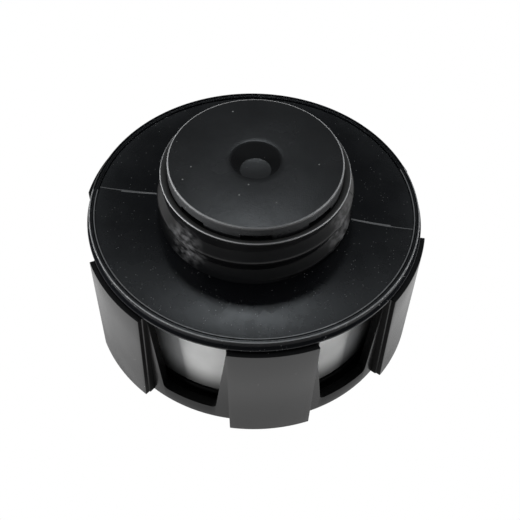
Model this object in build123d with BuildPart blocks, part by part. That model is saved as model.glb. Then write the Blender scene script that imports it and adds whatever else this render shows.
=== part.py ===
"""Screw-in filler breather cap for a hydraulic oil tank, standing on its crown with the threaded neck up.

Frame: millimetres, +Z along the neck towards the tank, origin at the centre of the flat crown it stands on.
Air is drawn through six windows, a white wrapped filter and a two-way valve, and reaches the tank
through the slots of the vent cap at the neck's end.
"""

import os
from math import cos, pi, radians, sin

from build123d import *

# ---- driving dimensions -------------------------------------------------------------------------
RIM_HEIGHT = 46.7  # crown face to the top of the lip
RIM_RADIUS = 52.0
NECK_RISE = 16.8  # lip to the neck's end ledge
CAP_RISE = 21.07  # lip to the vent cap's flat top
BAND_RADIUS_LOW, BAND_RADIUS_HIGH = 49.75, 51.0
WALL = 2.7
CROWN_THICKNESS = 3.0

PADS = 6
PAD_HALF_ANGLE = 14.2
PAD_STEP_ANGLE = 0.4  # the lower step shows this much beyond the grip face on each side
PAD_STEP_RISE = 1.3
COVER_HEIGHT = RIM_HEIGHT - 3.6
PAD_TOP = COVER_HEIGHT - 0.4
PAD_RADIUS_LOW, PAD_RADIUS_HIGH = 52.8, 54.3
PAD_WALL = 2.8
FRONT = -90.0  # direction of the pad that faces -Y

WINDOW_SILL = 5.7
WINDOW_WIDTH_LOW, WINDOW_WIDTH_HIGH = 18.6, 30.4
WINDOW_CORNER = 1.6

SHOULDER_HEIGHT = 43.7  # underside of the flange disc inside the wall
SPIGOT_INNER, SPIGOT_OUTER, SPIGOT_BOTTOM = 45.6, 48.1, 41.9

THREAD_ROOT, THREAD_CREST = 28.3, 30.35
THREAD_PITCH = 8.4
THREAD_FRONT_HEIGHT = RIM_HEIGHT + 9.17  # crest of the upper turn where it passes the front
THREAD_TURN_DOWN, THREAD_TURN_UP = -1.03, 254.6 / 360  # where the ridge starts and ends, in turns
LEDGE_RADIUS = 29.05
LOWER_BORE, NECK_BORE = 22.5, 25.0
SEAT_SHOULDER = RIM_HEIGHT + 4.0
NECK_END = RIM_HEIGHT + NECK_RISE
PILOT_FLOOR = RIM_HEIGHT + 11.0
PARTING_ANGLE = FRONT + 74.6

VENT_RADIUS = 26.8
VENT_TOP = RIM_HEIGHT + CAP_RISE
VENT_WALL = 1.8
VENT_SLOTS = 8
VENT_SLOT_WIDTH = 9.3
VENT_SLOT_TOP, VENT_SLOT_BOTTOM = RIM_HEIGHT + 17.77, RIM_HEIGHT + 14.9
VENT_SLOT_PHASE = FRONT - 5.5
DIMPLE_RADIUS, DIMPLE_FLOOR_RADIUS, DIMPLE_DEPTH = 7.85, 4.85, 4.1

FILTER_RADIUS = 44.0
FILTER_BOTTOM, FILTER_TOP = 5.2, 40.5
FILTER_CUP_EDGE = 6.9
PLEATS = 48

SEAT_BOTTOM, SEAT_TOP = 51.5, 54.5
SEAT_RADIUS = NECK_BORE - 0.05
ORIFICE = 8.0
CAGE_FLOOR = 31.0

STEP_FOLDER = "parts"


def radial_plane(angle, height=0.0):
    """A plane through the axis: local X points outwards at angle, local Y points up."""
    a = radians(angle)
    return Plane(origin=(0, 0, height), x_dir=(cos(a), sin(a), 0), z_dir=(sin(a), -cos(a), 0))


def facing_plane(angle, radius=0.0):
    """A plane whose normal points outwards at angle: local X runs round the body, local Y points up."""
    a = radians(angle)
    return Plane(
        origin=(radius * cos(a), radius * sin(a), 0), x_dir=(-sin(a), cos(a), 0), z_dir=(cos(a), sin(a), 0)
    )


def band_radius(height):
    """Outer radius of the drafted wall at a height."""
    return BAND_RADIUS_LOW + (BAND_RADIUS_HIGH - BAND_RADIUS_LOW) * height / COVER_HEIGHT


def ring(inner, outer, low, high):
    """A plain turned ring, added to the builder that is open."""
    with BuildSketch(Plane.XY.offset(low)) as section:
        Circle(outer)
        if inner > 0:
            Circle(inner, mode=Mode.SUBTRACT)
    extrude(section.sketch, amount=high - low)


def save(piece, name):
    """Labels a finished piece and writes its STEP file."""
    piece.part.label = name
    export_step(piece.part, os.path.join(STEP_FOLDER, name + ".step"))


os.makedirs(STEP_FOLDER, exist_ok=True)

# ---- cover: crown, drafted wall, six stepped grip pads and six windows, one moulding ------------
inner_low, inner_high = BAND_RADIUS_LOW - WALL, BAND_RADIUS_HIGH - WALL


def pad_block(middle, half_angle, shrink):
    """One drafted block on the wall; shrink sets it back from the full grip radius."""
    with BuildSketch(radial_plane(middle - half_angle)) as section:
        with BuildLine():
            Polyline(
                (BAND_RADIUS_LOW - 1, 0),
                (PAD_RADIUS_LOW - shrink - 0.7, 0),
                (PAD_RADIUS_LOW - shrink, 0.7),
                (PAD_RADIUS_HIGH - shrink, PAD_TOP - 0.3),
                (PAD_RADIUS_HIGH - shrink - 0.3, PAD_TOP),
                (BAND_RADIUS_HIGH - 1, PAD_TOP),
                close=True,
            )
        make_face()
    revolve(section.sketch, axis=Axis.Z, revolution_arc=2 * half_angle)


with BuildPart() as cover:
    with BuildSketch(Plane.XZ):
        with BuildLine():
            Polyline(
                (0, 0),
                (BAND_RADIUS_LOW - 0.8, 0),
                (BAND_RADIUS_LOW, 0.8),
                (BAND_RADIUS_HIGH, COVER_HEIGHT),
                (inner_high, COVER_HEIGHT),
                (inner_low, CROWN_THICKNESS),
                (0, CROWN_THICKNESS),
                close=True,
            )
        make_face()
    revolve(axis=Axis.Z)
    # windows run up to the top of the wall, wider there than at the sill
    for i in range(PADS):
        middle = FRONT + (i + 0.5) * 360 / PADS
        with BuildSketch(facing_plane(middle, inner_low - 5)):
            with BuildLine():
                Polyline(
                    (-WINDOW_WIDTH_LOW / 2, WINDOW_SILL),
                    (WINDOW_WIDTH_LOW / 2, WINDOW_SILL),
                    (WINDOW_WIDTH_HIGH / 2, COVER_HEIGHT + 1),
                    (-WINDOW_WIDTH_HIGH / 2, COVER_HEIGHT + 1),
                    close=True,
                )
            make_face()
            fillet(vertices().group_by(Axis.Z)[0], WINDOW_CORNER)
        extrude(amount=11, mode=Mode.SUBTRACT)

    # stepped grip pads, standing over the window jambs near the top
    for i in range(PADS):
        middle = FRONT + i * 360 / PADS
        pad_block(middle, PAD_HALF_ANGLE + PAD_STEP_ANGLE / 2, PAD_STEP_RISE)
        pad_block(middle, PAD_HALF_ANGLE - PAD_STEP_ANGLE / 2, 0)

    # each pad is cored from inside to an even thickness
    core_half_angle = PAD_HALF_ANGLE - 4.7
    for i in range(PADS):
        middle = FRONT + i * 360 / PADS
        with BuildSketch(radial_plane(middle - core_half_angle)):
            with BuildLine():
                Polyline(
                    (inner_low - 1, CROWN_THICKNESS + 1),
                    (PAD_RADIUS_LOW - PAD_WALL, CROWN_THICKNESS + 1),
                    (PAD_RADIUS_HIGH - PAD_WALL, PAD_TOP - PAD_WALL),
                    (inner_high - 1, PAD_TOP - PAD_WALL),
                    close=True,
                )
            make_face()
        revolve(axis=Axis.Z, revolution_arc=2 * core_half_angle, mode=Mode.SUBTRACT)
save(cover, "cover")

# ---- flange: dished disc with a beaded rim, locating spigot and threaded neck, one moulding -----
SEAL_LAND = RIM_HEIGHT - 0.95  # flat ring of the disc that the tank's gasket meets
disc_line = [(49.9, RIM_HEIGHT - 0.35), (48.5, RIM_HEIGHT - 0.7), (46.5, SEAL_LAND), (35.5, SEAL_LAND)]
disc_line += [(33.0, RIM_HEIGHT - 0.5), (31.2, RIM_HEIGHT + 0.1), (30.4, RIM_HEIGHT + 0.3)]
with BuildPart() as flange:
    with BuildSketch(Plane.XZ):
        with BuildLine():
            Polyline(
                (LOWER_BORE, SHOULDER_HEIGHT),
                (SPIGOT_INNER, SHOULDER_HEIGHT),
                (SPIGOT_INNER, SPIGOT_BOTTOM),
                (SPIGOT_OUTER, SPIGOT_BOTTOM),
                (SPIGOT_OUTER, COVER_HEIGHT),
                (51.1, COVER_HEIGHT),
                (51.5, COVER_HEIGHT + 0.4),
                (51.55, COVER_HEIGHT + 1.2),
                (51.1, COVER_HEIGHT + 2.0),
                (50.9, COVER_HEIGHT + 2.6),
                (RIM_RADIUS, COVER_HEIGHT + 3.0),
                (RIM_RADIUS, RIM_HEIGHT - 0.2),
                (RIM_RADIUS - 0.2, RIM_HEIGHT),
                (RIM_RADIUS - 0.45, RIM_HEIGHT),
                (RIM_RADIUS - 0.75, RIM_HEIGHT - 0.35),
                (50.65, RIM_HEIGHT - 0.35),
                (50.4, RIM_HEIGHT),
                (50.2, RIM_HEIGHT),
                *disc_line,
                (THREAD_ROOT, RIM_HEIGHT + 0.3),
                (THREAD_ROOT, NECK_END - 2.0),
                (LEDGE_RADIUS, NECK_END - 1.2),
                (LEDGE_RADIUS, NECK_END - 0.15),
                (LEDGE_RADIUS - 0.15, NECK_END),
                (VENT_RADIUS + 0.1, NECK_END - 0.8),
                (VENT_RADIUS + 0.1, PILOT_FLOOR),
                (NECK_BORE, PILOT_FLOOR),
                (NECK_BORE, SEAT_SHOULDER),
                (LOWER_BORE, SEAT_SHOULDER),
                close=True,
            )
        make_face()
    revolve(axis=Axis.Z)

# one coarse right-hand ridge, laid in equal lengths: steep flank below, long slope above; its last
# turn runs out under the neck's end ledge
RIDGE_LENGTHS = 6
length_turns = (THREAD_TURN_UP - THREAD_TURN_DOWN) / RIDGE_LENGTHS
with BuildPart() as ridge_length:
    with BuildLine():
        lead = Helix(pitch=THREAD_PITCH, height=THREAD_PITCH * length_turns, radius=THREAD_ROOT)
    with BuildSketch(Plane.XZ):
        with BuildLine():
            Polyline(
                (THREAD_ROOT - 0.5, -1.6),
                (THREAD_ROOT, -1.6),
                (THREAD_CREST - 0.2, -0.5),
                (THREAD_CREST, -0.2),
                (THREAD_CREST - 0.05, 0.3),
                (THREAD_ROOT + 0.5, 2.6),
                (THREAD_ROOT, 3.3),
                (THREAD_ROOT - 0.5, 3.3),
                close=True,
            )
        make_face()
    sweep(path=lead, is_frenet=True)
with flange:
    for i in range(RIDGE_LENGTHS):
        turn = THREAD_TURN_DOWN + i * length_turns
        place = Location((0, 0, THREAD_FRONT_HEIGHT + THREAD_PITCH * turn), (0, 0, FRONT + 360 * turn))
        add(ridge_length.part.moved(place))
    with BuildSketch(Plane.XZ):
        with BuildLine():
            Polyline(
                (THREAD_ROOT - 0.8, NECK_END),
                (LEDGE_RADIUS, NECK_END),
                (32, NECK_END - 2.9),
                (32, NECK_END + 6),
                (THREAD_ROOT - 0.8, NECK_END + 6),
                close=True,
            )
        make_face()
    revolve(axis=Axis.Z, mode=Mode.SUBTRACT)
    # the mould's parting line stands proud as a thin line right across the disc
    line_half_width, line_rise = 0.17, 0.14
    for side in (PARTING_ANGLE, PARTING_ANGLE + 180):
        with BuildSketch(radial_plane(side)):
            with BuildLine():
                Polyline(
                    *[(x, z + line_rise) for x, z in disc_line], *[(x, z - 1) for x, z in disc_line[::-1]], close=True
                )
            make_face()
        extrude(amount=line_half_width, both=True)
save(flange, "flange_neck")

# ---- vent cap: closed end with a moulding dimple and eight slots --------------------------------
with BuildPart() as vent_cap:
    with BuildSketch(Plane.XZ):
        with BuildLine():
            Polyline(
                (0, VENT_TOP - DIMPLE_DEPTH),
                (DIMPLE_FLOOR_RADIUS, VENT_TOP - DIMPLE_DEPTH),
                (DIMPLE_RADIUS - 0.4, VENT_TOP - 0.25),
                (DIMPLE_RADIUS, VENT_TOP),
                (VENT_RADIUS - 0.5, VENT_TOP),
                (VENT_RADIUS - 0.1, VENT_TOP - 0.2),
                (VENT_RADIUS, VENT_TOP - 0.6),
                (VENT_RADIUS, PILOT_FLOOR),
                (VENT_RADIUS - VENT_WALL, PILOT_FLOOR),
                (VENT_RADIUS - VENT_WALL, VENT_TOP - 2.0),
                (DIMPLE_RADIUS + 1.6, VENT_TOP - 2.0),
                (DIMPLE_FLOOR_RADIUS + 1.6, VENT_TOP - DIMPLE_DEPTH - 1.8),
                (0, VENT_TOP - DIMPLE_DEPTH - 1.8),
                close=True,
            )
        make_face()
    revolve(axis=Axis.Z)
    for i in range(VENT_SLOTS):
        with BuildSketch(facing_plane(VENT_SLOT_PHASE + i * 360 / VENT_SLOTS, VENT_RADIUS - 5)):
            with Locations((0, (VENT_SLOT_TOP + VENT_SLOT_BOTTOM) / 2)):
                Rectangle(VENT_SLOT_WIDTH, VENT_SLOT_TOP - VENT_SLOT_BOTTOM)
        extrude(amount=8, mode=Mode.SUBTRACT)
save(vent_cap, "vent_cap")

# ---- filter element: cup, pleats, core, wrap and upper end ring ---------------------------------
cup_wall = 0.7
gasket_thickness = 1.0
with BuildPart() as filter_cup:
    ring(0, FILTER_RADIUS + cup_wall, CROWN_THICKNESS + gasket_thickness, FILTER_BOTTOM)
    ring(FILTER_RADIUS, FILTER_RADIUS + cup_wall, FILTER_BOTTOM, FILTER_CUP_EDGE)
save(filter_cup, "filter_cup")

wrap_thickness = 0.8
with BuildPart() as filter_wrap:
    ring(FILTER_RADIUS - wrap_thickness, FILTER_RADIUS, FILTER_BOTTOM, FILTER_TOP)
save(filter_wrap, "filter_wrap")

pleat_outer = FILTER_RADIUS - wrap_thickness - 0.2
pleat_inner = 30.6
fold_depth = 3.0


def pleat_line(tip, valley):
    """A closed zigzag with one tip and one valley for each pleat."""
    points = []
    for i in range(PLEATS):
        for radius, share in ((tip, 0.0), (valley, 0.5)):
            a = 2 * pi * (i + share) / PLEATS
            points.append((radius * cos(a), radius * sin(a)))
    return points


with BuildPart() as filter_pleats:
    with BuildSketch(Plane.XY.offset(FILTER_BOTTOM)):
        with BuildLine():
            Polyline(*pleat_line(pleat_outer, pleat_inner + fold_depth), close=True)
        make_face()
        with BuildLine():
            Polyline(*pleat_line(pleat_outer - fold_depth, pleat_inner), close=True)
        make_face(mode=Mode.SUBTRACT)
    extrude(amount=FILTER_TOP - FILTER_BOTTOM)
save(filter_pleats, "filter_pleats")

core_outer, core_inner = 30.2, 29.0
core_columns, core_rows = 12, 4
core_hole_height = 6.0
with BuildPart() as filter_core:
    ring(core_inner, core_outer, FILTER_BOTTOM, FILTER_TOP)
    row_step = (FILTER_TOP - FILTER_BOTTOM) / core_rows
    for column in range(core_columns):
        with BuildSketch(facing_plane(column * 360 / core_columns, core_inner - 2)):
            for row in range(core_rows):
                with Locations((0, FILTER_BOTTOM + (row + 0.5) * row_step)):
                    Rectangle(9.0, core_hole_height)
        extrude(amount=5, mode=Mode.SUBTRACT)
save(filter_core, "filter_core")

end_ring_inner = 24.0
with BuildPart() as filter_end_ring:
    ring(end_ring_inner, FILTER_RADIUS + cup_wall, FILTER_TOP, FILTER_TOP + 1.2)
    ring(end_ring_inner, end_ring_inner + 1.2, FILTER_TOP + 1.2, FILTER_TOP + 2.4)
save(filter_end_ring, "filter_end_ring")

with BuildPart() as upper_gasket:
    ring(31.0, 43.0, FILTER_TOP + 1.2, SHOULDER_HEIGHT)
save(upper_gasket, "upper_gasket")

with BuildPart() as lower_gasket:
    ring(34.0, 42.0, CROWN_THICKNESS, CROWN_THICKNESS + gasket_thickness)
save(lower_gasket, "lower_gasket")

# ---- valve seat plate with its O-ring, clamped on the spring cage by a retaining ring -----------
groove_low, groove_high, groove_depth = 52.2, 53.8, 1.4
bead_depth = 0.5
with BuildPart() as valve_seat:
    ring(ORIFICE, SEAT_RADIUS, SEAT_BOTTOM, SEAT_TOP)
    ring(ORIFICE + 0.2, ORIFICE + 1.3, SEAT_BOTTOM - bead_depth, SEAT_BOTTOM)
    with BuildSketch(Plane.XY.offset(groove_low)):
        Circle(SEAT_RADIUS + 1)
        Circle(SEAT_RADIUS - groove_depth, mode=Mode.SUBTRACT)
    extrude(amount=groove_high - groove_low, mode=Mode.SUBTRACT)
save(valve_seat, "valve_seat")

o_ring_section = 0.68
with BuildPart() as seat_o_ring:
    with BuildSketch(Plane.XZ):
        with Locations((SEAT_RADIUS - 0.02 - o_ring_section, (groove_low + groove_high) / 2)):
            Circle(o_ring_section)
    revolve(axis=Axis.Z)
save(seat_o_ring, "seat_o_ring")

with BuildPart() as retaining_ring:
    ring(SEAT_RADIUS - 2.0, SEAT_RADIUS, SEAT_TOP, PILOT_FLOOR)
    for i in range(VENT_SLOTS):
        with BuildSketch(facing_plane(VENT_SLOT_PHASE + i * 360 / VENT_SLOTS, SEAT_RADIUS - 5)):
            with Locations((0, PILOT_FLOOR)):
                Rectangle(VENT_SLOT_WIDTH, 3.0)
        extrude(amount=8, mode=Mode.SUBTRACT)
save(retaining_ring, "retaining_ring")

cage_inner, cage_outer, cage_sheet = 18.0, 19.2, 1.2
cage_ports = 4
with BuildPart() as spring_cage:
    ring(4.4, cage_outer, CAGE_FLOOR - cage_sheet, CAGE_FLOOR)
    ring(cage_inner, cage_outer, CAGE_FLOOR, SEAT_BOTTOM)
    ring(cage_outer, SEAT_RADIUS, SEAT_SHOULDER, SEAT_BOTTOM)
    for i in range(cage_ports):
        with BuildSketch(facing_plane(i * 360 / cage_ports, 0)):
            with Locations((0, (CAGE_FLOOR + SEAT_SHOULDER) / 2)):
                Rectangle(18.0, SEAT_SHOULDER - CAGE_FLOOR - 5.0)
        extrude(amount=cage_outer + 2, mode=Mode.SUBTRACT)
save(spring_cage, "spring_cage")

# ---- pressure valve: plate with hub, rubber seal and spring -------------------------------------
seal_top = SEAT_BOTTOM - bead_depth - 0.05
plate_top, plate_bottom = seal_top - 1.2, seal_top - 3.2
hub_bottom = 43.0
stem_radius, stem_bore = 1.3, 1.65
with BuildPart() as pressure_plate:
    ring(3.5, 12.4, plate_bottom, plate_top)
    ring(3.5, 5.6, hub_bottom, plate_bottom)
    ring(stem_bore, 4.0, hub_bottom, hub_bottom + 1.2)
    with BuildSketch(Plane.XY.offset(hub_bottom)):
        with PolarLocations(2.75, 4):
            Circle(0.5)
    extrude(amount=1.2, mode=Mode.SUBTRACT)
save(pressure_plate, "pressure_plate")

with BuildPart() as pressure_seal:
    ring(7.0, 11.2, plate_top, seal_top)
save(pressure_seal, "pressure_seal")


def coil(mean_radius, wire, low, high, turns):
    """A compression spring standing between two heights."""
    with BuildPart() as spring:
        with BuildLine(Plane.XY.offset(low + wire / 2)):
            path = Helix(pitch=(high - low - wire) / turns, height=high - low - wire, radius=mean_radius)
        with BuildSketch(Plane(origin=path @ 0, z_dir=path % 0)):
            Circle(wire / 2)
        sweep(path=path, is_frenet=True)
    return spring


spring_gap = 0.08
pressure_spring = coil(8.4, 1.1, CAGE_FLOOR + spring_gap, plate_bottom - spring_gap, 6)
save(pressure_spring, "pressure_spring")

# ---- vacuum valve: disc and stem, its seal, spring and push-on clip -----------------------------
vacuum_gap = 0.03
vacuum_seal_top = plate_top + 0.8
vacuum_radius = 5.8
stem_end = 35.5
clip_top = 36.9
with BuildPart() as vacuum_seal:
    ring(2.0, vacuum_radius, plate_top + vacuum_gap, vacuum_seal_top)
save(vacuum_seal, "vacuum_seal")

with BuildPart() as vacuum_disc:
    ring(0, vacuum_radius, vacuum_seal_top, vacuum_seal_top + 1.1)
    ring(0, 1.95, plate_top + vacuum_gap, vacuum_seal_top)
    ring(0, stem_radius, stem_end, plate_top + vacuum_gap)
save(vacuum_disc, "vacuum_disc")

with BuildPart() as stem_clip:
    ring(stem_radius, 3.4, clip_top - 0.8, clip_top)
save(stem_clip, "stem_clip")

vacuum_spring = coil(2.4, 0.45, clip_top + spring_gap, hub_bottom - spring_gap, 6)
save(vacuum_spring, "vacuum_spring")
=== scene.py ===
"""Hydraulic filler breather standing on its crown: looks, light and camera on the CAD frame."""

import math

import bmesh
import bpy
from mathutils import Matrix, Quaternion, Vector


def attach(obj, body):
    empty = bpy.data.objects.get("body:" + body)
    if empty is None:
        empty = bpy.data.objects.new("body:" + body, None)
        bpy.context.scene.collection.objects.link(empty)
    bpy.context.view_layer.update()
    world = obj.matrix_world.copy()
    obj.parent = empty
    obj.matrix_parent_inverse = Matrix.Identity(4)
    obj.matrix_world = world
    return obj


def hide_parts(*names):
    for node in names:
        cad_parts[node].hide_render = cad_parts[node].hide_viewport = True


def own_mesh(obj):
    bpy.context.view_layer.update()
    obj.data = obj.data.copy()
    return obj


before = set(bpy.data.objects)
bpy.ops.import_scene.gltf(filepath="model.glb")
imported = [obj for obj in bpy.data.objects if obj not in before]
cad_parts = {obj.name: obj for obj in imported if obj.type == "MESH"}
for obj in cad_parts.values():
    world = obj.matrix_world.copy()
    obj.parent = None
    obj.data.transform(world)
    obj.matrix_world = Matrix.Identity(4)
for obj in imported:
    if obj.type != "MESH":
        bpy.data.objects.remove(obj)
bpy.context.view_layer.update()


# ---- Materials ----------------------------------------------------------------------------------
# Moulded nylon is near black with a satin skin: a faint colour drift, a fine grain, hair scratches
# and a sparse fall of pale dust. One recipe makes every material, each with its own wear.
def moulded_plastic(
    name, colour, rough, grain, dust, dust_scale=900, scuffs_and_highlights=(), specks=0, gloss=0.5, metal=0.0
):
    """A material; grain is the bump's strength and dust the share of it that flecks may cover."""
    mat = bpy.data.materials.new(name)
    mat.use_nodes = True
    nodes, links = mat.node_tree.nodes, mat.node_tree.links
    shader = nodes["Principled BSDF"]
    shader.inputs["Specular IOR Level"].default_value = gloss
    shader.inputs["Metallic"].default_value = metal
    where = nodes.new("ShaderNodeTexCoord").outputs["Object"]

    def texture(kind, scale, detail, stretch=None):
        tex = nodes.new(kind)
        tex.inputs["Scale"].default_value = scale
        tex.inputs["Detail"].default_value = detail
        source = where
        if stretch:
            mapping = nodes.new("ShaderNodeMapping")
            mapping.inputs["Scale"].default_value = stretch
            mapping.inputs["Rotation"].default_value = (0.3, 0.5, 0.9)
            links.new(source, mapping.inputs["Vector"])
            source = mapping.outputs["Vector"]
        links.new(source, tex.inputs["Vector"])
        return tex.outputs[0]

    def noise(scale, detail=4.0, stretch=None):
        return texture("ShaderNodeTexNoise", scale, detail, stretch)

    def cells(scale):
        return texture("ShaderNodeTexVoronoi", scale, 0.0)

    def ramp(source, low, high, to_min=0.0, to_max=1.0):
        node = nodes.new("ShaderNodeMapRange")
        node.inputs["From Min"].default_value = low
        node.inputs["From Max"].default_value = high
        node.inputs["To Min"].default_value = to_min
        node.inputs["To Max"].default_value = to_max
        links.new(source, node.inputs["Value"])
        return node.outputs[0]

    def both(a, b):
        node = nodes.new("ShaderNodeMath")
        node.operation = "MULTIPLY"
        links.new(a, node.inputs[0])
        links.new(b, node.inputs[1])
        return node.outputs[0]

    def mix(a, b, factor):
        node = nodes.new("ShaderNodeMix")
        node.data_type = "RGBA"
        for socket, value in ((node.inputs[6], a), (node.inputs[7], b)):
            if isinstance(value, tuple):
                socket.default_value = (*value, 1)
            else:
                links.new(value, socket)
        links.new(factor, node.inputs[0])
        return node.outputs[2]

    darker = tuple(c * 0.82 for c in colour)
    base = mix(darker, colour, ramp(noise(60), 0.35, 0.65))
    # hair scratches: one noise drawn out into thin lines
    scratched = tuple(min(1.0, c * 3 + 0.03) for c in colour)
    hair = ramp(noise(260, 2.0, stretch=(0.06, 1.0, 1.0)), 0.72, 0.78, 0.0, 0.35)
    base = mix(base, scratched, hair)
    # dust: tiny pale flecks where a cell's centre is close and a coarse noise lets it fall
    near = ramp(cells(dust_scale), 0.09, 0.16, 1.0, 0.0)
    fall = ramp(noise(dust_scale * 0.37, 1.0), 1.0 - dust, 1.02 - dust)
    base = mix(base, (0.26, 0.26, 0.26), both(near, fall))
    if specks:
        # the odd brighter crumb
        base = mix(base, (0.8, 0.8, 0.78), ramp(cells(specks), 0.025, 0.045, 1.0, 0.0))
    for spot, reach in scuffs_and_highlights:
        # a rubbed patch with a painted highlight: pale streaks that fade away from a spot where
        # other parts touch and where the side lights glint
        away = nodes.new("ShaderNodeVectorMath")
        away.operation = "DISTANCE"
        links.new(where, away.inputs[0])
        away.inputs[1].default_value = spot
        patch = ramp(away.outputs["Value"], reach * 0.2, reach, 1.0, 0.0)
        streak = ramp(noise(420, 6.0, stretch=(1, 1, 2.5)), 0.40, 0.66, 0.0, 0.9)
        base = mix(base, (0.17, 0.17, 0.175), both(patch, streak))
    links.new(base, shader.inputs["Base Color"])
    wear = ramp(noise(110, 6.0), 0.3, 0.7, rough - 0.04, rough + 0.04)
    links.new(wear, shader.inputs["Roughness"])
    bump = nodes.new("ShaderNodeBump")
    bump.inputs["Strength"].default_value = grain
    bump.inputs["Distance"].default_value = 0.00004
    links.new(noise(2600, 3.0), bump.inputs["Height"])
    links.new(bump.outputs[0], shader.inputs["Normal"])
    return mat


# two places on the neck's front painted pale for scuffs and for the side lights' highlight, each
# with its reach, in metres
SCUFF_AND_HIGHLIGHT_SPOTS = (((-0.0232, -0.0185, 0.0525), 0.0085), ((0.0262, -0.0165, 0.0535), 0.0098))
satin_nylon = moulded_plastic("satin_nylon", (0.0066, 0.0073, 0.0092), 0.27, 0.25, 0.48)
grip_nylon = moulded_plastic("grip_nylon", (0.010, 0.010, 0.0104), 0.24, 0.35, 0.30, gloss=0.64)
neck_nylon = moulded_plastic("neck_nylon", (0.003, 0.003, 0.0034), 0.36, 0.3, 0.2, scuffs_and_highlights=SCUFF_AND_HIGHLIGHT_SPOTS)
matte_nylon = moulded_plastic(
    "matte_nylon", (0.046, 0.047, 0.0485), 0.255, 0.8, 0.30, dust_scale=600, specks=150
)
# painted shade: a darker, duller copy of the nylon for the cover's jambs and pad sides, which lie
# in shade; also the filter's own black plastic parts
dark_plastic_and_painted_shade = moulded_plastic("dark_plastic_and_painted_shade", (0.006, 0.006, 0.006), 0.6, 0.2, 0.2, gloss=0.12)
# painted highlight: a pale material for edges and the parting rib, standing in for the light they
# catch
painted_highlight_edge = moulded_plastic("painted_highlight_edge", (0.45, 0.455, 0.46), 0.27, 0.2, 0.0)
# dust and painted light: a pale grey for the neck ledge's inward slope, for dust and for the light
# it catches
dust_and_painted_light_nylon = moulded_plastic("dust_and_painted_light_nylon", (0.13, 0.13, 0.128), 0.6, 0.8, 0.52, dust_scale=1500)
white_fleece = moulded_plastic("white_fleece", (0.80, 0.80, 0.79), 0.85, 0.5, 0.0)
pleat_paper = moulded_plastic("pleat_paper", (0.72, 0.68, 0.55), 0.9, 0.5, 0.0)
white_acetal = moulded_plastic("white_acetal", (0.68, 0.68, 0.65), 0.35, 0.1, 0.0)
black_rubber = moulded_plastic("black_rubber", (0.012, 0.012, 0.012), 0.6, 0.4, 0.2)
plated_steel = moulded_plastic("plated_steel", (0.55, 0.56, 0.58), 0.3, 0.2, 0.0, metal=1.0)

# painted shade: the fleece is darkened toward its lower edge, standing in for the sill's shadow
fleece_nodes, fleece_links = white_fleece.node_tree.nodes, white_fleece.node_tree.links
fleece_axes = fleece_nodes.new("ShaderNodeSeparateXYZ")
fleece_height = fleece_nodes.new("ShaderNodeMapRange")
fleece_height.interpolation_type = "SMOOTHSTEP"
for socket, value in (("From Min", 0.006), ("From Max", 0.019), ("To Min", 0.12), ("To Max", 1.0)):
    fleece_height.inputs[socket].default_value = value
fleece_painted_shade = fleece_nodes.new("ShaderNodeMix")
fleece_painted_shade.data_type, fleece_painted_shade.blend_type = "RGBA", "MULTIPLY"
fleece_painted_shade.inputs[0].default_value = 1.0
fleece_base = fleece_nodes["Principled BSDF"].inputs["Base Color"]
fleece_where = fleece_nodes.new("ShaderNodeTexCoord").outputs["Object"]
fleece_links.new(fleece_where, fleece_axes.inputs[0])
fleece_links.new(fleece_axes.outputs["Z"], fleece_height.inputs["Value"])
fleece_links.new(fleece_base.links[0].from_socket, fleece_painted_shade.inputs[6])
fleece_links.new(fleece_height.outputs[0], fleece_painted_shade.inputs[7])
fleece_links.new(fleece_painted_shade.outputs[2], fleece_base)

# ---- Vent cap -----------------------------------------------------------------------------------
# The neck's closed end: a thin matte nylon cup, barely crowned, with a soft-mouthed dimple and
# eight slots at its foot. Its section is turned, and the slots are cut through the turned wall.
MM = 0.001
FRONT = math.radians(-90)  # the pad that faces -Y


def rounded(corners, steps=4):
    """A profile of (x, z, radius) corners as points, each corner rounded to that radius."""
    points = []
    for i, (x, z, radius) in enumerate(corners):
        here = Vector((x, z))
        if radius == 0 or i in (0, len(corners) - 1):
            points.append((x, z))
            continue
        before = Vector(corners[i - 1][:2]) - here
        after = Vector(corners[i + 1][:2]) - here
        opening = before.angle(after)
        if opening > math.radians(175):
            points.append((x, z))
            continue
        reach = min(radius / math.tan(opening / 2), before.length * 0.48, after.length * 0.48)
        a, b = here + before.normalized() * reach, here + after.normalized() * reach
        for k in range(steps + 1):
            t = k / steps
            p = a * (1 - t) ** 2 + here * (2 * t * (1 - t)) + b * t * t
            points.append((p.x, p.y))
    return points


def spin_profile(bm, points, segments):
    """Turns a profile in millimetres a full turn about Z."""
    verts = [bm.verts.new((x * MM, 0, z * MM)) for x, z in points]
    edges = [bm.edges.new(pair) for pair in zip(verts, verts[1:])]
    bmesh.ops.spin(
        bm,
        geom=verts + edges,
        cent=(0, 0, 0),
        axis=(0, 0, 1),
        angle=math.tau,
        steps=segments,
        use_merge=True,
        use_normal_flip=False,
    )
    bmesh.ops.remove_doubles(bm, verts=bm.verts, dist=0.002 * MM)


def as_object(bm, name):
    """The mesh as an object in the scene."""
    mesh = bpy.data.meshes.new(name)
    bm.to_mesh(mesh)
    bm.free()
    obj = bpy.data.objects.new(name, mesh)
    bpy.context.scene.collection.objects.link(obj)
    return obj


def finished(bm, name, sharp_degrees=38, body="housing"):
    """The mesh as a smooth-shaded object riding on a body, normals outwards."""
    bmesh.ops.recalc_face_normals(bm, faces=bm.faces)
    obj = as_object(bm, name)
    obj.data.shade_smooth()
    obj.data.set_sharp_from_angle(angle=math.radians(sharp_degrees))
    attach(obj, body)
    return obj


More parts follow.
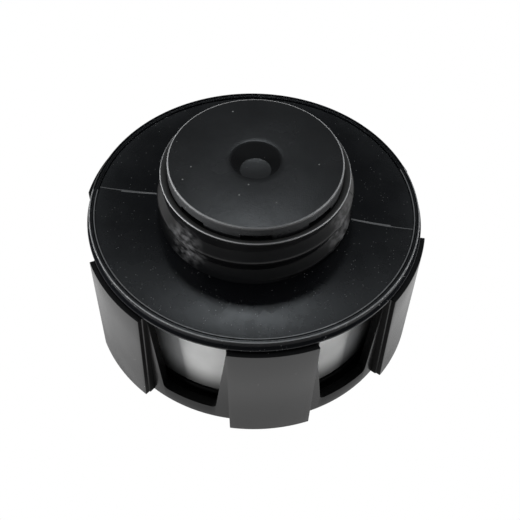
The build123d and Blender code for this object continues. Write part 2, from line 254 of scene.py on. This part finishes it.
def carve(obj, bm, sharp_degrees, edge_radius=0.0):
    """Cuts the mesh's shape out of an object, then rounds its sharp edges if a radius is given."""
    cutter = as_object(bm, obj.name + "_cutter")
    cut = obj.modifiers.new("cut", "BOOLEAN")
    cut.operation, cut.solver, cut.object = "DIFFERENCE", "EXACT", cutter
    if edge_radius:
        edge = obj.modifiers.new("edge_radius", "BEVEL")
        edge.width, edge.segments, edge.limit_method = edge_radius * MM, 2, "ANGLE"
        edge.angle_limit = math.radians(sharp_degrees)
    depsgraph = bpy.context.evaluated_depsgraph_get()
    cut_mesh = bpy.data.meshes.new_from_object(obj.evaluated_get(depsgraph))
    obj.modifiers.clear()
    obj.data = cut_mesh
    obj.data.set_sharp_from_angle(angle=math.radians(sharp_degrees))
    obj.data.materials.clear()
    bpy.data.objects.remove(cutter)


VENT_RADIUS, VENT_TOP, VENT_FOOT, VENT_WALL = 26.8, 67.77, 57.7, 1.8
ROOF = VENT_TOP - 2
DIMPLE_FLOOR, DIMPLE_MOUTH, DIMPLE_DEPTH = 4.8, 7.6, 4.1
bm = bmesh.new()
vent_section = [
    (0, VENT_TOP - DIMPLE_DEPTH, 0),
    (DIMPLE_FLOOR, VENT_TOP - DIMPLE_DEPTH, 0.25),
    (DIMPLE_MOUTH, VENT_TOP + 0.22, 0.9),
    (9.5, VENT_TOP + 0.3, 0.5),
    (18.0, VENT_TOP + 0.19, 0),
    (VENT_RADIUS - 0.55, VENT_TOP, 0.18),
    (VENT_RADIUS - 0.12, VENT_TOP - 0.22, 0.12),
    (VENT_RADIUS, VENT_TOP - 0.8, 0.3),
    (VENT_RADIUS, VENT_FOOT, 0),
    (VENT_RADIUS - VENT_WALL, VENT_FOOT, 0),
    (VENT_RADIUS - VENT_WALL, ROOF, 0),
    (DIMPLE_MOUTH + VENT_WALL, ROOF, 0),
    (DIMPLE_FLOOR + 1.6, VENT_TOP - DIMPLE_DEPTH - VENT_WALL, 0),
    (0, VENT_TOP - DIMPLE_DEPTH - VENT_WALL, 0),
]
spin_profile(bm, rounded(vent_section), 256)
vent = finished(bm, "vent_cap_shell")

SLOTS, FIRST_SLOT = 8, -5.5
SLOT_LOW, SLOT_HIGH, SLOT_WIDTH, SLOT_DEPTH = 61.6, 64.47, 9.3, 6.0
slot_size = Vector((SLOT_DEPTH, SLOT_WIDTH, SLOT_HIGH - SLOT_LOW)) * MM
slot_middle = Vector((VENT_RADIUS, 0, (SLOT_LOW + SLOT_HIGH) / 2)) * MM
bm = bmesh.new()
for k in range(SLOTS):
    turn = FRONT + math.radians(FIRST_SLOT + 360 / SLOTS * k)
    slot_box = bmesh.ops.create_cube(bm, size=1.0)["verts"]
    bmesh.ops.scale(bm, vec=slot_size, verts=slot_box)
    place = Matrix.Rotation(turn, 4, "Z") @ Matrix.Translation(slot_middle)
    bmesh.ops.transform(bm, matrix=place, verts=slot_box)
carve(vent, bm, 38)
vent.data.materials.append(matte_nylon)
vent.data.materials.append(painted_highlight_edge)
for face in vent.data.polygons:
    at = face.center / MM
    # painted highlight: the top edge is painted pale for the light it catches
    if at.z > VENT_TOP - 0.3 and 0.05 < VENT_RADIUS - math.hypot(at.x, at.y) < 0.4:
        face.material_index = 1
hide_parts("vent_cap")

# ---- Flange disc and rim ------------------------------------------------------------------------
# One nylon moulding: a shallow dished disc, a rim with two beads and a flared lip, and a spigot
# that locates in the cover. Its section is turned; the mould's parting line is a fine raised rib.
RIM = 46.7
FALL_START, FALL_END, RISE_END = (30.6, 46.87), (45.5, 45.98), (49.95, 46.08)


def dish(far, share):
    """The disc's surface between its lowest circle and a far one, as a parabola."""
    x, z = FALL_END
    return x + (far[0] - x) * share, z + (far[1] - z) * share**2


disc_line = [dish(RISE_END, 1 - i / 8) for i in range(9)]
disc_line += [dish(FALL_START, i / 12) for i in range(1, 13)]
bm = bmesh.new()
flange_section = [
    (27.0, 43.7, 0),
    (45.6, 43.7, 0),
    (45.6, 41.9, 0),
    (48.1, 41.9, 0.3),
    (48.1, 43.1, 0),
    (52.3, 43.1, 0.2),
    (52.75, 43.45, 0.25),
    (52.7, 44.0, 0.3),
    (51.8, 44.5, 0.4),
    (51.3, 45.4, 0.3),
    (51.15, 46.0, 0.1),
    (51.95, 46.15, 0.12),
    (52.0, 46.55, 0.1),
    (51.85, 46.7, 0.08),
    (51.5, 46.7, 0.1),
    (51.3, 46.3, 0.1),
    (50.7, 46.3, 0.1),
    (50.5, 46.68, 0.1),
    (50.2, 46.68, 0.12),
    *[(x, z, 0) for x, z in disc_line],
    (28.0, 47.1, 0),
]
spin_profile(bm, rounded(flange_section), 320)

PARTING_DEGREES = 74.6
PARTING = FRONT + math.radians(PARTING_DEGREES)
rib_section = [(-0.2, -0.1), (-0.11, 0.09), (0, 0.13), (0.11, 0.09), (0.2, -0.1)]
for side in (PARTING, PARTING + math.pi):
    along = Vector((math.cos(side), math.sin(side), 0))
    across = Vector((-math.sin(side), math.cos(side), 0))
    rows = []
    for x, z in disc_line:
        row = []
        for offset, rise in rib_section:
            point = along * x + across * offset + Vector((0, 0, z + rise))
            row.append(bm.verts.new(point * MM))
        rows.append(row)
    for a, b in zip(rows, rows[1:]):
        for i in range(len(rib_section) - 1):
            bm.faces.new((a[i], a[i + 1], b[i + 1], b[i]))
flange = finished(bm, "flange_disc")
flange.data.materials.append(satin_nylon)
flange.data.materials.append(painted_highlight_edge)
BEAD_CREST = 46.58
BEAD_HIGHLIGHT_BACK = 12  # the beads are painted pale as a highlight at the front and sides, up to this y
RIB_FACE = 1.2 * MM * MM
for face in flange.data.polygons:
    at = face.center / MM
    r = math.hypot(at.x, at.y)
    # painted highlight: bead crests at the front and sides, and the parting rib, get the pale
    # material
    on_bead = at.z > BEAD_CREST and at.y < BEAD_HIGHLIGHT_BACK and (50.15 < r < 50.55 or r > 51.55)
    off_line = abs(at.x * math.sin(PARTING) - at.y * math.cos(PARTING))
    on_rib = off_line < 0.16 and 30.5 < r < 50 and face.area < RIB_FACE
    if on_bead or on_rib:
        face.material_index = 1
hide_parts("flange_neck")

# ---- Threaded neck ------------------------------------------------------------------------------
# Same moulding as the disc: a tube with one coarse right-hand ridge, steep below and long-sloped
# above, and an end ledge. Rows follow the ridge round the neck, so its edges stay clean.
ROOT, CREST, PITCH = 28.3, 30.35, 8.4
NECK_FOOT, LEDGE = 0.2, 14.6  # heights from here on are above the rim
FRONT_CREST = 9.17
# the neck is laid out once round, in degrees from the front, from one parting line back to itself
START, END = PARTING_DEGREES - 180, PARTING_DEGREES + 180
COLUMNS = 480
# height above the crest, share of the ridge's full height
ridge_section = [
    (-1.6, 0),
    (-0.75, 0.9),
    (-0.45, 0.97),
    (-0.15, 1),
    (0.3, 0.97),
    (2.5, 0.25),
    (3.3, 0),
]
ridge_rows = [-1.9, -1.6, -1.15, -0.75, -0.45, -0.15, 0.1, 0.3]
ridge_rows += [0.8, 1.4, 2.0, 2.5, 2.9, 3.3, 3.6]
ledge_section = [
    (28.35, 14.9),
    (29.0, 15.5),
    (29.05, 15.8),
    (29.05, 16.55),
    (28.95, 16.75),
    (28.75, 16.8),
    (28.5, 16.72),
    (26.95, 15.75),
    (26.85, 15.6),
    (26.83, 11.0),
]


def ridge_height(dz):
    """Share of the ridge's full height at a distance dz above its crest."""
    for (a, ha), (b, hb) in zip(ridge_section, ridge_section[1:]):
        if a <= dz <= b:
            return ha + (hb - ha) * (dz - a) / (b - a)
    return 0.0


def eased(x):
    """A smooth step from 0 to 1."""
    x = min(1.0, max(0.0, x))
    return x * x * (3 - 2 * x)


def polar(radius, turn, z):
    """A point in metres from a radius and a height in millimetres."""
    return radius * math.cos(turn) * MM, radius * math.sin(turn) * MM, z * MM


RUN_IN, RUN_OUT = 8, 16  # degrees over which the ridge's two ends rise and fade
UNDER_LEDGE = 12.6  # a crest above this runs out under the ledge, and has gone at FADE_END
FADE_END, FADE = 16.2, 1.6
SEAM_RISE, SEAM_DEGREES = 0.16, 0.8
FILLET, FILLET_HEIGHT = 0.5, 0.7
bm = bmesh.new()
grid = []
for j in range(COLUMNS + 1):
    angle = START + (END - START) * j / COLUMNS
    crest = FRONT_CREST + PITCH * angle / 360
    run_out = eased((END - angle) / RUN_OUT)
    run_in = eased((angle - START) / RUN_IN)
    turns = ((crest - PITCH, run_in), (crest, run_out))
    heights = [NECK_FOOT, NECK_FOOT + 0.3]
    heights += [c + dz for c, _ in turns for dz in ridge_rows]
    # the mould's halves leave a fine raised line up either side of the neck
    from_seam = min(abs(angle - START), abs(angle - PARTING_DEGREES), abs(END - angle))
    seam = SEAM_RISE * eased(1 - from_seam / SEAM_DEGREES)
    column = []
    for z in sorted(min(LEDGE, max(NECK_FOOT, h)) for h in heights):
        radius = ROOT
        for c, share in turns:
            h = ridge_height(z - c) * share
            if c > UNDER_LEDGE:
                h *= eased((FADE_END - z) / FADE)
            radius = max(radius, ROOT + (CREST - ROOT) * h)
        # a soft fillet where the tube rises from the disc
        radius += seam + FILLET * eased(1 - (z - NECK_FOOT) / FILLET_HEIGHT)
        column.append((radius, z))
    column += ledge_section
    turn = FRONT + math.radians(angle)
    grid.append([bm.verts.new(polar(r, turn, z + RIM)) for r, z in column])
for a, b in zip(grid, grid[1:]):
    for i in range(len(a) - 1):
        bm.faces.new((a[i], b[i], b[i + 1], a[i + 1]))
bmesh.ops.remove_doubles(bm, verts=bm.verts, dist=0.01 * MM)
bmesh.ops.dissolve_degenerate(bm, edges=bm.edges, dist=0.008 * MM)
neck = finished(bm, "threaded_neck", 30)
neck.data.materials.append(neck_nylon)
neck.data.materials.append(dust_and_painted_light_nylon)
neck.data.materials.append(painted_highlight_edge)
CREST_RADIUS, CREST_LOW, SLOPE_LOW = 28.7, RIM + 16.6, RIM + 15.5
for face in neck.data.polygons:
    at = face.center / MM
    r = math.hypot(at.x, at.y)
    # painted highlight: the ledge's crest is painted pale; dust and painted light: its inward slope
    # gets a pale grey for dust and for the light it catches
    if at.z > CREST_LOW and r > CREST_RADIUS:
        face.material_index = 2
    if at.z > SLOPE_LOW and r < CREST_RADIUS:
        face.material_index = 1

# ---- Cover --------------------------------------------------------------------------------------
# One nylon moulding: a drafted cup whose wall is cut by six tapered windows. The section is turned,
# and each window is cut by a prism with rounded lower corners.
COVER_TOP, COVER_FLOOR = 43.1, 3.0
WALL_LOW, WALL_HIGH = 49.9, 51.0  # the wall's outer radius at its foot and head
INNER_LOW, INNER_HIGH = 46.9, 48.3
bm = bmesh.new()
cup_section = [
    (0, COVER_FLOOR, 0),
    (INNER_LOW, COVER_FLOOR, 0),
    (INNER_HIGH, COVER_TOP, 0),
    (WALL_HIGH, COVER_TOP, 0.2),
    (WALL_LOW, 0, 0.35),
    (0, 0, 0),
]
spin_profile(bm, rounded(cup_section), 288)
cover = finished(bm, "cover_shell", 30)

WINDOWS, CORNER = 6, 1.5
SILL, SILL_HALF, HEAD, HEAD_HALF = 5.7, 9.1, COVER_TOP + 1, 13.5
WITHIN, BEYOND = 45.6, 56.0  # the prisms reach from inside the wall to outside it
window = [(-SILL_HALF, SILL), (SILL_HALF, SILL), (HEAD_HALF, HEAD), (-HEAD_HALF, HEAD)]
bm = bmesh.new()
for k in range(WINDOWS):
    turn = FRONT + math.radians(360 / WINDOWS * (k + 0.5))
    inner_ring, outer_ring = (
        [bm.verts.new((radius * MM, y * MM, z * MM)) for y, z in window]
        for radius in (WITHIN, BEYOND)
    )
    bm.faces.new(reversed(inner_ring))
    bm.faces.new(outer_ring)
    for i in range(4):
        j = (i + 1) % 4
        bm.faces.new((inner_ring[i], inner_ring[j], outer_ring[j], outer_ring[i]))
    bm.edges.ensure_lookup_table()
    lower = [bm.edges.get((inner_ring[i], outer_ring[i])) for i in (0, 1)]
    bevelled = bmesh.ops.bevel(
        bm, geom=lower, affect="EDGES", offset=CORNER * MM, segments=5, profile=0.5, material=-1
    )
    prism = {*inner_ring, *outer_ring, *bevelled["verts"]}
    prism = [v for v in prism if v.is_valid]
    bmesh.ops.transform(bm, matrix=Matrix.Rotation(turn, 4, "Z"), verts=prism)
bmesh.ops.recalc_face_normals(bm, faces=bm.faces)
carve(cover, bm, 35, edge_radius=0.22)
cover.data.materials.append(grip_nylon)
cover.data.materials.append(dark_plastic_and_painted_shade)
FACING_OUT = 0.6  # faces that look outward less than this are window jambs and pad sides
for face in cover.data.polygons:
    outward = Vector((face.center.x, face.center.y, 0)).normalized()
    within = COVER_FLOOR * MM < face.center.z < (COVER_TOP - 0.2) * MM
    # painted shade: jambs and pad sides get the darker, duller copy, standing in for the shade they
    # lie in
    if face.normal.dot(outward) < FACING_OUT and within:
        face.material_index = 1
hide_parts("cover")

# ---- Grip pads ----------------------------------------------------------------------------------
# Six drafted pads stand out of the same moulding, each with a small step down its sides and crisp,
# slightly rounded edges. Each is lofted between its foot and its top.
PADS, PAD_TOP, STEP_DEPTH = 6, 42.7, 1.55
FACE_INSET, STEP_OUTSET = 0.12, 0.22  # degrees
EDGE_RADIUS = 0.22
ARC = 16
# height, half the pad's width in degrees, outer radius, inner radius
PAD_FOOT, PAD_HEAD = (0.0, 13.85, 53.25, 48.9), (PAD_TOP, 14.85, 54.25, 50.2)
bm = bmesh.new()
for k in range(PADS):
    middle = FRONT + math.radians(360 / PADS * k)
    loops = []
    for z, half, outer, inner in (PAD_FOOT, PAD_HEAD):
        step = outer - STEP_DEPTH
        face_half, step_half = half - FACE_INSET, half + STEP_OUTSET
        outline = [(-step_half, inner), (-step_half, step), (-face_half, step)]
        outline += [(face_half * (2 * i / ARC - 1), outer) for i in range(ARC + 1)]
        outline += [(face_half, step), (step_half, step), (step_half, inner)]
        outline += [(step_half * (1 - 2 * i / ARC), inner) for i in range(1, ARC)]
        loops.append(
            [bm.verts.new(polar(r, middle + math.radians(degrees), z)) for degrees, r in outline]
        )
    foot, head = loops
    bm.faces.new(reversed(foot))
    bm.faces.new(head)
    for i in range(len(foot)):
        j = (i + 1) % len(foot)
        bm.faces.new((foot[i], foot[j], head[j], head[i]))
bmesh.ops.recalc_face_normals(bm, faces=bm.faces)
crisp = []
for e in bm.edges:
    away = min(math.hypot(v.co.x, v.co.y) for v in e.verts) > WALL_HIGH * MM
    if away and len(e.link_faces) == 2 and e.calc_face_angle() > math.radians(30):
        crisp.append(e)
bmesh.ops.bevel(
    bm, geom=crisp, affect="EDGES", offset=EDGE_RADIUS * MM, segments=3, profile=0.5, material=-1
)
pads = finished(bm, "grip_pads", 40)
pads.data.materials.append(grip_nylon)
pads.data.materials.append(dark_plastic_and_painted_shade)
for face in pads.data.polygons:
    outward = Vector((face.center.x, face.center.y, 0)).normalized()
    # painted shade: the pads' sides get the darker, duller copy, standing in for the shade they lie
    # in
    if face.normal.dot(outward) < FACING_OUT and abs(face.normal.z) < 0.7:
        face.material_index = 1

# ---- Finishes on the CAD pieces -----------------------------------------------------------------
# The filter element and the valve keep their CAD shapes; a fine edge radius softens the element.
for names, mat in (
    (("filter_cup", "filter_end_ring"), dark_plastic_and_painted_shade),
    (("filter_wrap",), white_fleece),
    (("filter_pleats",), pleat_paper),
    (("filter_core", "spring_cage", "stem_clip"), plated_steel),
    (("valve_seat", "retaining_ring", "pressure_plate", "vacuum_disc"), white_acetal),
    (("upper_gasket", "lower_gasket", "seat_o_ring", "pressure_seal", "vacuum_seal"), black_rubber),
):
    for name in names:
        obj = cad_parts[name]
        obj.data.materials.clear()
        obj.data.materials.append(mat)
        if name in ("filter_wrap", "filter_cup", "filter_end_ring"):
            edge = obj.modifiers.new("edge_radius", "BEVEL")
            edge.width = 0.3 * MM
            edge.segments = 2
            edge.limit_method = "ANGLE"
            edge.angle_limit = math.radians(32)
            edge.harden_normals = True
            edge.use_clamp_overlap = True

# ---- Valve springs ------------------------------------------------------------------------------
# Wound steel wire, as two coils. Each is a copy of its CAD shape riding on its body.
for name, body, joint, held_at, keep in (
    ("pressure_spring", "housing", "pressure_lift", 31.08, 0.81),
    ("vacuum_spring", "pressure_valve", "vacuum_lift", 42.92, 0.65),
):
    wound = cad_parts[name]
    bm = bmesh.new()
    bm.from_mesh(wound.data)
    bmesh.ops.transform(bm, matrix=wound.matrix_world, verts=bm.verts)
    coil = finished(bm, name + "_coil", 60, body)
    coil.data.materials.append(plated_steel)
    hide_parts(name)
    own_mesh(coil)

# ---- Stage --------------------------------------------------------------------------------------
# A pale seamless floor in a dim room. A small softbox high behind draws the sheen on the disc, and
# soft light from above, both sides and two cards on the floor fills the rest.
bm = bmesh.new()
bmesh.ops.create_grid(bm, x_segments=1, y_segments=1, size=3.0)
floor = as_object(bm, "floor")
floor.location.z = -0.0002
pale = bpy.data.materials.new("pale_floor")
pale.use_nodes = True
pale_nodes, pale_links = pale.node_tree.nodes, pale.node_tree.links
pale_shader = pale_nodes["Principled BSDF"]
pale_shader.inputs["Base Color"].default_value = (0.9, 0.9, 0.9, 1)
pale_shader.inputs["Roughness"].default_value = 0.9
# the floor glows for the camera and in mirrored rays, and elsewhere it is plain
white = pale_nodes.new("ShaderNodeEmission")
seen = pale_nodes.new("ShaderNodeLightPath")
either = pale_nodes.new("ShaderNodeMath")
either.operation = "MAXIMUM"
choose = pale_nodes.new("ShaderNodeMixShader")
pale_links.new(seen.outputs["Is Camera Ray"], either.inputs[0])
pale_links.new(seen.outputs["Is Glossy Ray"], either.inputs[1])
# mirrored in the part, the floor close to it lies in its shadow
spot = pale_nodes.new("ShaderNodeTexCoord")
reach = pale_nodes.new("ShaderNodeVectorMath")
reach.operation = "LENGTH"
shade = pale_nodes.new("ShaderNodeMapRange")
shade.interpolation_type = "SMOOTHSTEP"
for socket, value in (("From Min", 0.05), ("From Max", 0.074), ("To Min", 0.42), ("To Max", 1.0)):
    shade.inputs[socket].default_value = value
lit = pale_nodes.new("ShaderNodeMath")
lit.operation = "MAXIMUM"
pale_links.new(spot.outputs["Object"], reach.inputs[0])
pale_links.new(reach.outputs["Value"], shade.inputs["Value"])
pale_links.new(shade.outputs[0], lit.inputs[0])
pale_links.new(seen.outputs["Is Camera Ray"], lit.inputs[1])
pale_links.new(lit.outputs[0], white.inputs["Strength"])
pale_links.new(either.outputs[0], choose.inputs[0])
pale_links.new(pale_shader.outputs[0], choose.inputs[1])
pale_links.new(white.outputs[0], choose.inputs[2])
pale_links.new(choose.outputs[0], pale_nodes["Material Output"].inputs["Surface"])
floor.data.materials.append(pale)

world = bpy.data.worlds.new("studio")
bpy.context.scene.world = world
world.use_nodes = True
world_nodes, world_links = world.node_tree.nodes, world.node_tree.links
room = world_nodes["Background"]
room.inputs["Color"].default_value = (0.88, 0.94, 1.0, 1)
room.inputs["Strength"].default_value = 0.07
backdrop = world_nodes.new("ShaderNodeBackground")
backdrop.inputs["Color"].default_value = (1, 1, 1, 1)
backdrop.inputs["Strength"].default_value = 1.0
ray = world_nodes.new("ShaderNodeLightPath")
pick = world_nodes.new("ShaderNodeMixShader")
world_links.new(ray.outputs["Is Camera Ray"], pick.inputs[0])
world_links.new(room.outputs[0], pick.inputs[1])
world_links.new(backdrop.outputs[0], pick.inputs[2])
world_links.new(pick.outputs[0], world_nodes["World Output"].inputs["Surface"])


def softbox(name, where, at, size, power, tint=(1, 1, 1), mirrored=False, shown=True):
    """A rectangular soft light at a place, aimed at a point; size is its width and height."""
    data = bpy.data.lights.new(name, "AREA")
    data.shape = "RECTANGLE"
    data.size, data.size_y = size
    data.energy, data.color = power, tint
    lamp = bpy.data.objects.new(name, data)
    bpy.context.scene.collection.objects.link(lamp)
    lamp.location = where
    lamp.rotation_mode = "QUATERNION"
    lamp.rotation_quaternion = (Vector(at) - Vector(where)).to_track_quat("-Z", "Y")
    lamp.visible_glossy = mirrored
    lamp.visible_camera = shown


COOL = (0.88, 0.95, 1.0)
softbox("back_box", (0.05, 0.45, 0.86), (0.01, -0.04, 0.05), (0.11, 0.12), 0.44, COOL, True)
for side, power in ((-1, 9.5), (1, 6.5)):
    softbox("side_box", (0.74 * side, -0.03, 0.02), (0, 0, 0.03), (0.4, 0.1), power)
    card_x = 0.17 * side
    softbox(
        "floor_card", (card_x, -0.05, 0.0005), (card_x, -0.05, 1), (0.14, 0.16), 0.16, shown=False
    )
softbox("above_box", (0, -0.1, 1.5), (0, 0, 0), (1.0, 1.0), 3)

# ---- Camera -------------------------------------------------------------------------------------
# A 76 mm lens looks down at about 49 degrees, a little left of the front pad.
camera_data = bpy.data.cameras.new("camera")
camera_data.sensor_width = 36
camera_data.lens = 76.126154
camera_data.clip_start, camera_data.clip_end = 0.01, 20
camera = bpy.data.objects.new("camera", camera_data)
bpy.context.scene.collection.objects.link(camera)
azimuth, elevation, roll = (math.radians(degrees) for degrees in (-7.08, 48.71, 1.856))
distance = 0.34697
camera.location = (
    distance * math.cos(elevation) * math.sin(azimuth),
    -distance * math.cos(elevation) * math.cos(azimuth),
    RIM * MM + distance * math.sin(elevation),
)
aim = Vector((0.002216, -0.000275, 0.0198))
camera.rotation_mode = "QUATERNION"
level = (aim - camera.location).to_track_quat("-Z", "Y")
camera.rotation_quaternion = level @ Quaternion((0, 0, 1), roll)
bpy.context.scene.camera = camera
bpy.context.scene.view_settings.view_transform = "Standard"
